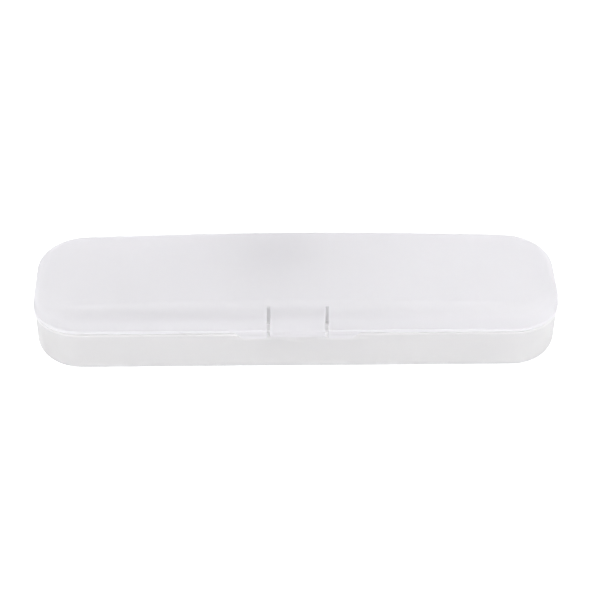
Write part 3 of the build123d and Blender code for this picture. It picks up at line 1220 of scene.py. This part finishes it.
# ------------------------------------------------------------------ latch tongue
@dataclass
class Tongue:
    """The latch tongue: a strip of the lid's wall with a finger lip outside and a hook inside."""

    lid: Lid
    finish: bpy.types.Material
    half: float = 12.1
    tip: float = 20.2
    foot_bevel: float = 0.25
    lip_proud: float = 0.6
    lip_round: float = 0.3
    lip_height: float = 2.6
    lip_flat: float = 0.8
    hook_reach: float = 1.2
    hook_height: float = 1.4
    hook_lift: float = 0.4
    hook_half: float = 10.1
    hook_bevel: float = 0.15
    hook_step: float = 0.02
    side_round: float = 0.2
    tip_round: float = 1.0
    bend_length: float = 3.5
    outer_steps: int = 5
    inner_steps: int = 4
    flare_steps: int = 6
    lip_steps: int = 5
    side_columns: int = 5
    hook_columns: int = 8

    def outer_path(self) -> list[Point]:
        """The outside from the root down to the tip.

        Returns:
            Its points, as (y, z).
        """
        lid, case = self.lid, self.lid.case
        start = 180 - lid.root_angle
        end = 180 - math.degrees(case.lid_taper)
        path = arc(lid.outer.front_centre(), lid.edge, start, end, lid.lower_turns)
        face = case.front + lid.bead_proud
        top = self.tip + self.lip_height
        foot = path[-1][1]
        for share in shares(self.outer_steps):
            z = foot + (top - foot) * share
            path.append((face + (z - case.rim) * math.tan(case.lid_taper), z))
        flare = top - self.tip - self.lip_proud - self.lip_flat
        for share in shares(self.flare_steps):
            out = self.lip_proud * share * share * (3 - 2 * share)
            path.append((face - out, top - flare * share))
        corner = (face - self.lip_proud + self.lip_round, self.tip + self.lip_round)
        return path + arc(corner, self.lip_round, 180, 270, self.lip_steps)

    def inner_path(self, hooked: bool) -> list[Point]:
        """The inside from the tip up to the root.

        Args:
            hooked: whether the hook stands out there.

        Returns:
            Its points, as (y, z), as many with the hook as without it.
        """
        lid, case = self.lid, self.lid.case
        wall = case.front + lid.inner.inset
        low = self.tip + self.hook_lift
        high = low + self.hook_height
        reach = self.hook_reach if hooked else 0.0
        path = [(wall - self.foot_bevel, self.tip), (wall, self.tip + self.foot_bevel), (wall, low)]
        path += [(wall + reach, low + self.hook_height / 2), (wall + reach, high - self.hook_bevel)]
        path += [(wall + max(reach - self.hook_bevel, 0.0), high), (wall, high + self.hook_step)]
        path.append((wall, case.rim))
        edge = arc(lid.inner.front_centre(), lid.inner.edge, 180 - math.degrees(case.lid_taper),
                   180 - lid.inner_root_angle(), lid.lower_turns)
        foot = edge[0][1]
        for share in shares(self.inner_steps)[:-1]:
            z = case.rim + (foot - case.rim) * share
            path.append((wall + (z - case.rim) * math.tan(case.lid_taper), z))
        return path + edge

    def columns(self) -> list[tuple[float, bool, float]]:
        """The columns that the tongue's profile is laid on, from left to right.

        Returns:
            Each column's X, whether it has the hook, and how far its profile is drawn in.
        """
        soft = self.side_round
        ends = [(self.half - soft * (1 - math.cos(t)), False, soft * (1 - math.sin(t))) for t in ROUND]
        plain = np.linspace(self.half - soft, self.hook_half, self.side_columns + 1)[1:]
        hooked = np.linspace(self.hook_half, 0, self.hook_columns + 1)
        right = ends + [(x, False, 0.0) for x in plain] + [(x, True, 0.0) for x in hooked]
        return [(-x, hook, drawn) for x, hook, drawn in right] + right[-2::-1]

    def build(self) -> bpy.types.Object:
        """Builds the tongue. Its two root points stay in place where a column is drawn in.

        Returns:
            The piece, not yet dressed.
        """
        skin, rows = Skin(), []
        for x, hook, drawn in self.columns():
            whole = self.outer_path() + self.inner_path(hook)
            profile = [whole[0], *pulled_in(whole, drawn)[1:-1], whole[-1]]
            rows.append(skin.row((x, y, z + self._lift(x, z)) for y, z in profile))
        for low, high in zip(rows, rows[1:]):
            skin.strip(low, high)
        skin.face(rows[0])
        skin.face(rows[-1])
        return skin.mesh_object("latch_tongue_strip")

    def _lift(self, x: float, z: float) -> float:
        """How far the rounded lower corners lift a point.

        Args:
            x: where the point is along the front.
            z: its height.

        Returns:
            The lift, which fades out above the lip.
        """
        into = abs(x) - (self.half - self.tip_round)
        if into <= 0:
            return 0.0
        lift = self.tip_round - math.sqrt(max(self.tip_round**2 - into**2, 0))
        fade = 1 - min((z - self.tip) / (2 * self.lip_height), 1)
        return lift * fade

    def add(self) -> None:
        """Builds the tongue, gives it its finish and hides the solid that it stands for."""
        piece = self.build()
        piece.data.materials.append(self.finish)
        y, z = self.lid.outer.front_centre()
        turn = math.radians(self.lid.root_angle)
        root = Vector((0, y - self.lid.edge * math.cos(turn), z + self.lid.edge * math.sin(turn)))
        below = root + self.bend_length * Vector((0, -math.sin(turn), -math.cos(turn)))
        below * MM
        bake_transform(piece)
        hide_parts("latch_tongue")


# ------------------------------------------------------------------ tray
@dataclass
class Tray:
    """The tray: a deep shell with a rim bead, a lip, the dipped front, the latch pocket and a thumb scoop."""

    case: Case
    finish: bpy.types.Material
    wall: float = 1.85
    edge: float = 7.0
    bead_inset: float = 0.45
    bead_height: float = 1.6
    bead_round: float = 0.25
    bead_fade: float = 0.4
    neck_height: float = 0.4
    neck_depth: float = 0.6
    lip_inset: float = 1.8
    lip_wall: float = 0.8
    lip_height: float = 2.5
    lip_round: float = 0.15
    dip_drop: float = 3.5
    dip_flat: float = 22.7
    pocket_half: float = 13.45
    pocket_inset: float = 3.5
    pocket_floor: float = 20.0
    boss_half: float = 16.6
    boss_inset: float = 5.1
    boss_foot: float = 13.4
    boss_heel: float = 11.2
    step_half: float = 0.002
    catch_half: float = 10.1
    catch_low: float = 22.6
    catch_height: float = 1.2
    catch_reach: float = 0.7
    catch_root: float = 0.8
    catch_round: float = 0.12
    scoop_half: float = 11.0
    scoop_height: float = 3.4
    scoop_depth: float = 0.95
    scoop_room: float = 1.5
    scoop_margin: float = 1.0
    scoop_mark: float = 0.9
    scoop_marks: int = 12
    outer_edge_steps: int = 12
    inner_edge_steps: int = 10
    low_rows: int = 3
    high_rows: int = 14

    @property
    def dip(self) -> Dip:
        """The dip of its rim."""
        return Dip(self.case.rim, self.dip_drop, self.dip_flat)

    def wall_inset(self, height: np.ndarray | float, inner: bool = False) -> np.ndarray | float:
        """How far in the wall stands at a height."""
        start = self.case.tray_inset + (self.wall if inner else 0.0)
        return start + (self.case.parting - height) * math.tan(self.case.tray_taper)

    def outline(self) -> Outline:
        """Lays out the stations, with two close together at each step of the rim.

        Returns:
            The stations of the tray.
        """
        ends = (self.pocket_half, self.boss_half)
        steps = [end + way * self.step_half for end in ends for way in (-1, 1)]
        scoop = np.linspace(self.scoop_mark, self.scoop_half, self.scoop_marks)
        return Outline(self.case, [*self.dip.marks(), *steps, *scoop, 0.0])

    def build(self) -> bpy.types.Object:
        """Builds the tray.

        Returns:
            The piece, not yet dressed.
        """
        outline, skin = self.outline(), Skin()
        x = outline.front_x()
        pocket, boss = np.abs(x) < self.pocket_half, np.abs(x) < self.boss_half
        top = np.minimum([self.dip.height(place) for place in x], self.case.parting)
        top[pocket] = self.pocket_floor
        rows = self._corner_rows(outline, False)
        rows += self._outer_wall(outline, rows[-1][0][2], top)
        rows += self._rim(outline, top, pocket, boss)
        rows += self._inner_wall(outline, boss)
        for row in rows:
            self._scoop(row, x)
        numbers = [skin.row(row) for row in rows]
        for low, high in zip(numbers, numbers[1:]):
            skin.strip(low, high)
        outline.cap(skin, numbers[0])
        outline.cap(skin, numbers[-1])
        return skin.mesh_object("tray")

    def _corner_rows(self, outline: Outline, inner: bool) -> list[np.ndarray]:
        """Rows over the rounded bottom edge, from the flat bottom to the wall.

        Args:
            outline: the stations.
            inner: whether they are on the inside, over the floor.

        Returns:
            The rows.
        """
        taper = self.case.tray_taper
        floor, steps = (self.case.floor, self.inner_edge_steps) if inner else (0.0, self.outer_edge_steps)
        radius = self.edge - floor
        centre = self.wall_inset(self.edge, inner) + radius / math.cos(taper)
        return [outline.points(centre - radius * math.cos(turn), self.edge - radius * math.sin(turn))
                for turn in np.linspace(math.pi / 2, taper, steps + 1)]

    def _outer_wall(self, outline: Outline, foot: float, top: np.ndarray) -> list[np.ndarray]:
        """Rows of the outer wall, the bead and the neck that keeps a shadow line under the lid.

        Args:
            outline: the stations.
            foot: where the wall starts.
            top: the rim's height at each station.

        Returns:
            The rows. Where the rim dips, the bead and its neck fade out.
        """
        under = self.case.parting - self.bead_height
        wall_top = np.minimum(under, top - self.bead_round)
        rest = self.pocket_floor - self.scoop_height - self.scoop_room
        levels = [foot + (rest - foot) * share for share in shares(self.low_rows)]
        levels += [rest + (wall_top - rest) * share for share in shares(self.high_rows)]
        rows = [outline.points(self.wall_inset(level), level) for level in levels]
        bead = np.clip((top - under) / self.bead_fade, 0, 1)
        face = self.wall_inset(wall_top) * (1 - bead) + self.bead_inset * bead
        soft = self.bead_round
        for turn in ROUND:
            insets = np.minimum(face + soft * bead * (1 - math.sin(turn)), self.wall_inset(wall_top))
            rows.append(outline.points(insets, wall_top + soft * bead * (1 - math.cos(turn))))
        crest = top - self.neck_height * bead
        for turn in ROUND[::-1]:
            insets = face + soft * (1 - math.sin(turn))
            rows.append(outline.points(insets, crest - soft * (1 - math.cos(turn))))
        neck = face + soft + (self.neck_depth - soft) * bead
        return rows + [outline.points(neck, crest), outline.points(neck, top)]

    def _rim(self, outline: Outline, top: np.ndarray, pocket: np.ndarray,
             boss: np.ndarray) -> list[np.ndarray]:
        """Rows of the ledge, the lip that stands inside the lid, and its rounded top.

        Args:
            outline: the stations.
            top: the rim's height at each of them.
            pocket: whether each is at the latch pocket.
            boss: whether each is at the boss behind it.

        Returns:
            The rows.
        """
        start = np.where(pocket, self.pocket_inset, self.lip_inset)
        end = np.where(boss, self.boss_inset, self.lip_inset + self.lip_wall)
        height = self.case.parting + self.lip_height
        rise = self.lip_height * math.tan(self.case.lid_taper)
        outer = start + np.where(pocket, 0.0, rise)
        inner = end + np.where(boss, 0.0, rise)
        soft = self.lip_round
        rows = [outline.points(start, top), outline.points(start, np.maximum(top, self.case.parting))]
        for way, face, turns in ((-1, outer, ROUND), (1, inner, ROUND[::-1])):
            for turn in turns:
                insets = face - way * soft * (1 - math.cos(turn))
                rows.append(outline.points(insets, height - soft * (1 - math.sin(turn))))
        return rows

    def _inner_wall(self, outline: Outline, boss: np.ndarray) -> list[np.ndarray]:
        """Rows of the inside, from the lip down to the floor.

        Args:
            outline: the stations.
            boss: whether each is at the boss.

        Returns:
            The rows.
        """
        corner = self._corner_rows(outline, True)[::-1]
        halfway = (self.boss_heel + corner[0][0][2]) / 2
        rows = []
        for level in (self.case.parting, self.boss_foot, self.boss_heel, halfway):
            insets = self.wall_inset(level, inner=True)
            if level >= self.boss_foot:
                insets = np.where(boss, self.boss_inset, insets)
            rows.append(outline.points(insets, level))
        return rows + corner

    def _scoop(self, row: np.ndarray, x: np.ndarray) -> None:
        """Presses the thumb scoop, a shallow cap of a ball, into a row of the front wall.

        Args:
            row: the row's points, which are moved.
            x: each station's X on the front.
        """
        back = (self.scoop_half**2 - self.scoop_depth**2) / (2 * self.scoop_depth)
        rise = (self.scoop_half**2 - self.scoop_height**2) / (2 * self.scoop_height)
        radius = math.hypot(back, rise + self.scoop_height)
        middle = (self.case.front + self.case.tray_inset - back, self.pocket_floor + rise)
        for i in np.flatnonzero(np.abs(x) < self.scoop_half + self.scoop_margin):
            room = radius**2 - x[i] ** 2 - (row[i][2] - middle[1]) ** 2
            face = self.case.front + self.wall_inset(row[i][2]) + self.scoop_margin
            if room > 0 and row[i][2] <= self.pocket_floor and row[i][1] < face:
                row[i][1] = max(row[i][1], middle[0] + math.sqrt(room))

    def catch_ledge(self) -> bpy.types.Object:
        """Builds the ledge that the hook sits under.

        Returns:
            The piece, not yet dressed.
        """
        back = self.case.front + self.pocket_inset
        nose, root = back - self.catch_reach, back + self.catch_root
        low, top = self.catch_low, self.catch_low + self.catch_height
        profile = ((root, low), (root, top), (back, top), (nose, top - self.catch_height / 2), (nose, low))
        skin = Skin()
        Bar(profile, self.catch_half, self.catch_round).add_to(skin)
        return skin.mesh_object("catch_ledge")

    def add(self) -> None:
        """Builds and dresses the tray and its catch."""
        dress(self.build(), Body.TRAY, self.finish, ["tray_shell"])
        dress(self.catch_ledge(), Body.TRAY, self.finish)


# ------------------------------------------------------------------ hinge
@dataclass(frozen=True)
class BarrelRow:
    """The barrels of one shell. Their webs are above the pin where side is 1, and below it at -1."""

    name: str
    body: Body
    slot: Slot
    finish: bpy.types.Material
    side: int
    wall_y: float
    count: int


@dataclass
class Hinge:
    """The barrels that the two shells share, and their pin."""

    case: Case
    repeats: RepeatTree
    finishes: Finishes
    tray_count: int = 3
    lid_count: int = 2
    pitch: float = 7.6
    radius: float = 2.6
    side_gap: float = 0.3
    web_gap: float = 0.35
    web_bite: float = 1.0
    bore: float = 1.05
    gusset: float = 40.0
    rounding: float = 0.3
    pin_round: float = 0.25
    steps: int = 44

    def profile(self, side: int, wall_y: float) -> list[Point]:
        """A barrel with its web, as (y, z), anticlockwise.

        Args:
            side: 1 for a web above the pin and -1 for one below it.
            wall_y: where the web ends in the shell's wall.

        Returns:
            The profile's corners.
        """
        turn = math.radians(self.gusset)
        centre = (self.case.hinge_y, self.case.hinge_z)
        leave = 180 + math.degrees(math.asin(self.web_gap / self.radius))
        points = arc(centre, self.radius, self.gusset - 90, leave, self.steps)
        touch_y, touch_z = points[0]
        level = self.case.hinge_z - self.web_gap
        points += [(wall_y, level), (wall_y, touch_z - (touch_y - wall_y) * math.tan(turn))]
        if side < 0:
            return points
        return [(y, 2 * self.case.hinge_z - z) for y, z in points[::-1]]

    def add_barrels(self, row: BarrelRow) -> None:
        """Builds and dresses every second barrel, all on one shell.

        Args:
            row: which barrels they are.
        """
        skin = Skin()
        bore = (self.case.hinge_y, self.case.hinge_z, self.bore)
        half = (self.pitch - self.side_gap) / 2
        Bar(self.profile(row.side, row.wall_y), half, self.rounding, bore=bore).add_to(skin)
        piece = skin.mesh_object(row.name)
        self.repeats.repeat(piece, row.count, 2 * self.pitch, row.finish)
        dress(piece, row.body, row.finish)

    def add(self) -> None:
        """Builds and dresses the whole hinge."""
        lid_y = self.case.width / 2 - self.web_bite
        tray_y = lid_y - self.case.tray_inset
        self.add_barrels(BarrelRow("tray_barrels", Body.TRAY, Slot.TRAY, self.finishes.tray_barrels, -1,
                                   tray_y, self.tray_count))
        self.add_barrels(BarrelRow("lid_barrels", Body.LID, Slot.LID, self.finishes.lid_barrels, 1,
                                   lid_y, self.lid_count))
        pin = Softener(self.pin_round).copy("hinge_pin", "steel_pin")
        dress(pin, Body.TRAY, self.finishes.pin, ["hinge_pin"])


# ------------------------------------------------------------------ inserts
@dataclass(frozen=True)
class Plate:
    """A plate that stands across the tray: its solid, the X of its middle and how thick it is."""

    node: str
    x: float
    thickness: float


@dataclass
class Inserts:
    """What stands on the tray's floor, with the low bars that hold it."""

    case: Case
    finishes: Finishes
    handle_y: float = -12.6
    saddles: tuple[Plate, ...] = (
        Plate("handle_saddle_left", -76.0, 2.0),
        Plate("handle_saddle_middle", 26.0, 2.0),
        Plate("neck_saddle", 84.0, 2.0),
    )
    head_y: float = 16.9
    posts: tuple[Plate, ...] = (Plate("head_post_left", -96.0, 2.2), Plate("head_post_right", 96.0, 2.2))
    rounding: float = 0.3
    guide_wall: float = 1.2
    guide_height: float = 1.5
    guide_length: float = 12.0
    guide_gap: float = 0.1
    guide_bite: float = 0.3
    guide_bevel: float = 0.4
    guide_round: float = 0.2

    def guide_profile(self, y: float) -> list[Point]:
        """A bar's profile, with its two upper corners bevelled.

        Args:
            y: the bar's middle.

        Returns:
            Its corners, as (y, z).
        """
        half, bevel = self.guide_length / 2, self.guide_bevel
        low, top = self.case.floor - self.guide_bite, self.case.floor + self.guide_height
        return [(y - half, low), (y + half, low), (y + half, top - bevel), (y + half - bevel, top),
                (y - half + bevel, top), (y - half, top - bevel)]

    def guide_bars(self) -> bpy.types.Object:
        """Builds the low bars on the floor, two for each plate, with rounded edges.

        Returns:
            The piece, not yet dressed.
        """
        skin = Skin()
        for y, plates in ((self.handle_y, self.saddles), (self.head_y, self.posts)):
            for plate in plates:
                away = plate.thickness / 2 + self.guide_gap + self.guide_wall / 2
                for x in (plate.x - away, plate.x + away):
                    Bar(self.guide_profile(y), self.guide_wall / 2, self.guide_round, x).add_to(skin)
        return skin.mesh_object("guide_bars")

    def add(self) -> None:
        """Builds and dresses every insert."""
        softener = Softener(self.rounding)
        for node in (*(plate.node for plate in self.saddles + self.posts), "centre_divider"):
            piece = softener.copy(node, node + "_moulded")
            dress(piece, Body.TRAY, self.finishes.inserts, [node])
        dress(self.guide_bars(), Body.TRAY, self.finishes.tray)


# ------------------------------------------------------------------ studio
@dataclass(frozen=True)
class Lamp:
    """A soft area light, in metres and watts."""

    name: str
    place: Place
    size: Point
    power: float


@dataclass
class Studio:
    """The floor, the light and the camera.

    The focal length and the render's width are in pixels, and the clipping and the floor's size in metres.
    """

    case: Case
    elevation: float = 35.8921
    azimuth: float = 1.7149
    roll: float = 0.6018
    distance: float = 972.635
    aim: Point = (1.8047, -0.5744)
    focal: float = 2148.73
    render_width: float = 600.0
    sensor: float = 36.0
    clip: Point = (0.02, 30.0)
    floor_size: float = 6.0
    floor_colour: Colour = (0.82, 0.82, 0.83)
    floor_glow: float = 0.75
    world_level: float = 0.69
    front_level: float = 0.4
    front_elevation: float = 30.0
    front_start: float = 0.45
    front_full: float = 0.95
    lit: Place = (0.0, 0.0, 0.03)
    lamps: tuple[Lamp, ...] = (
        Lamp("left_light", (-0.62, -0.1, 0.45), (0.5, 0.7), 1.3),
        Lamp("right_light", (0.62, -0.15, 0.45), (0.5, 0.7), 1.4),
        Lamp("front_light", (0.0, -1.3, 0.55), (1.6, 0.5), 5.0),
    )

    def camera(self) -> None:
        """Places the camera."""
        rise, roll, turn = (math.radians(a) for a in (self.elevation, self.roll, self.azimuth))
        right = Vector((1, 0, 0))
        up = Vector((0, math.sin(rise), math.cos(rise)))
        ahead = Vector((0, math.cos(rise), -math.sin(rise)))
        place = self.aim[0] * right + self.aim[1] * up - self.distance * ahead
        axes = Matrix((right * math.cos(roll) + up * math.sin(roll),
                       up * math.cos(roll) - right * math.sin(roll), -ahead)).transposed()
        spin = Matrix.Rotation(-turn, 3, "Z")
        data = bpy.data.cameras.new("camera")
        data.sensor_width = self.sensor
        data.lens = self.focal * self.sensor / self.render_width
        data.clip_start, data.clip_end = self.clip
        camera = linked("camera", data)
        middle = Vector((0, 0, self.case.height / 2))
        camera.matrix_world = Matrix.Translation((spin @ place + middle) * MM) @ (spin @ axes).to_4x4()
        bpy.context.scene.camera = camera

    def light(self, lamp: Lamp) -> None:
        """Adds an area light that faces the case.

        Args:
            lamp: its size, place and power.
        """
        data = bpy.data.lights.new(lamp.name, "AREA")
        data.shape = "RECTANGLE"
        data.size, data.size_y = lamp.size
        data.energy = lamp.power
        light = linked(lamp.name, data)
        light.location = lamp.place
        light.rotation_euler = (Vector(self.lit) - Vector(lamp.place)).to_track_quat("-Z", "Y").to_euler()

    def world(self) -> None:
        """A white surround that is darker in front, where no light stands."""
        world = bpy.data.worlds.new("surround")
        world.use_nodes = True
        bpy.context.scene.world = world
        graph = Graph(world.node_tree)
        path = graph.node("ShaderNodeLightPath").outputs
        seen = Value(graph, path["Is Camera Ray"])
        mirrored = Value(graph, path["Is Glossy Ray"])
        look = graph.node("ShaderNodeTexCoord").outputs["Generated"]
        rise = math.radians(self.front_elevation)
        toward = (0.0, -math.cos(rise), math.sin(rise))
        facing = Value(graph, graph.vector("DOT_PRODUCT", look, toward)["Value"])
        ahead = graph.ramp(facing, self.front_start, self.front_full)
        level = self.world_level + mirrored * (1 - self.world_level - ahead * (1 - self.front_level))
        level = level + seen * (1 - level)
        background = graph.node("ShaderNodeBackground", None, {"Color": (1, 1, 1, 1), "Strength": level})
        graph.node("ShaderNodeOutputWorld", None, {"Surface": background.outputs[0]})

    def floor(self) -> None:
        """A pale floor that is white where nothing shades it."""
        skin, half = Skin(), self.floor_size / 2 / MM
        skin.face(skin.row(((-half, -half, 0), (half, -half, 0), (half, half, 0), (-half, half, 0))))
        floor = linked("floor", skin.mesh("floor"))
        material, graph = new_material("studio_floor")
        path = graph.node("ShaderNodeLightPath").outputs
        seen = graph.math("MAXIMUM", Value(graph, path["Is Camera Ray"]), Value(graph, path["Is Glossy Ray"]))
        matte = graph.node("ShaderNodeBsdfDiffuse", None, {"Color": (*self.floor_colour, 1)})
        strength = seen * self.floor_glow
        glow = graph.node("ShaderNodeEmission", None, {"Color": (1, 1, 1, 1), "Strength": strength})
        both = graph.node("ShaderNodeAddShader", None, {0: matte.outputs[0], 1: glow.outputs[0]})
        graph.node("ShaderNodeOutputMaterial", None, {"Surface": both.outputs[0]})
        floor.data.materials.append(material)

    def add(self) -> None:
        """Sets the whole studio up."""
        self.camera()
        self.world()
        self.floor()
        for lamp in self.lamps:
            self.light(lamp)
        bpy.context.scene.view_settings.view_transform = "Standard"


def main() -> None:
    """Builds the case, piece by piece, and its studio."""
    logging.basicConfig(level=logging.INFO, format="%(name)s: %(message)s")
    case, finishes = Case(), Finishes()
    lid = Lid(case, finishes.lid)
    lid.add()
    Tongue(lid, finishes.tongue).add()
    Tray(case, finishes.tray).add()
    Hinge(case, RepeatTree(), finishes).add()
    Inserts(case, finishes).add()
    Studio(case).add()
    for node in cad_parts.values():
        if not node.hide_render:
            log.info("%s still shows its solid", node.name)


if __name__ == "__main__":
    main()
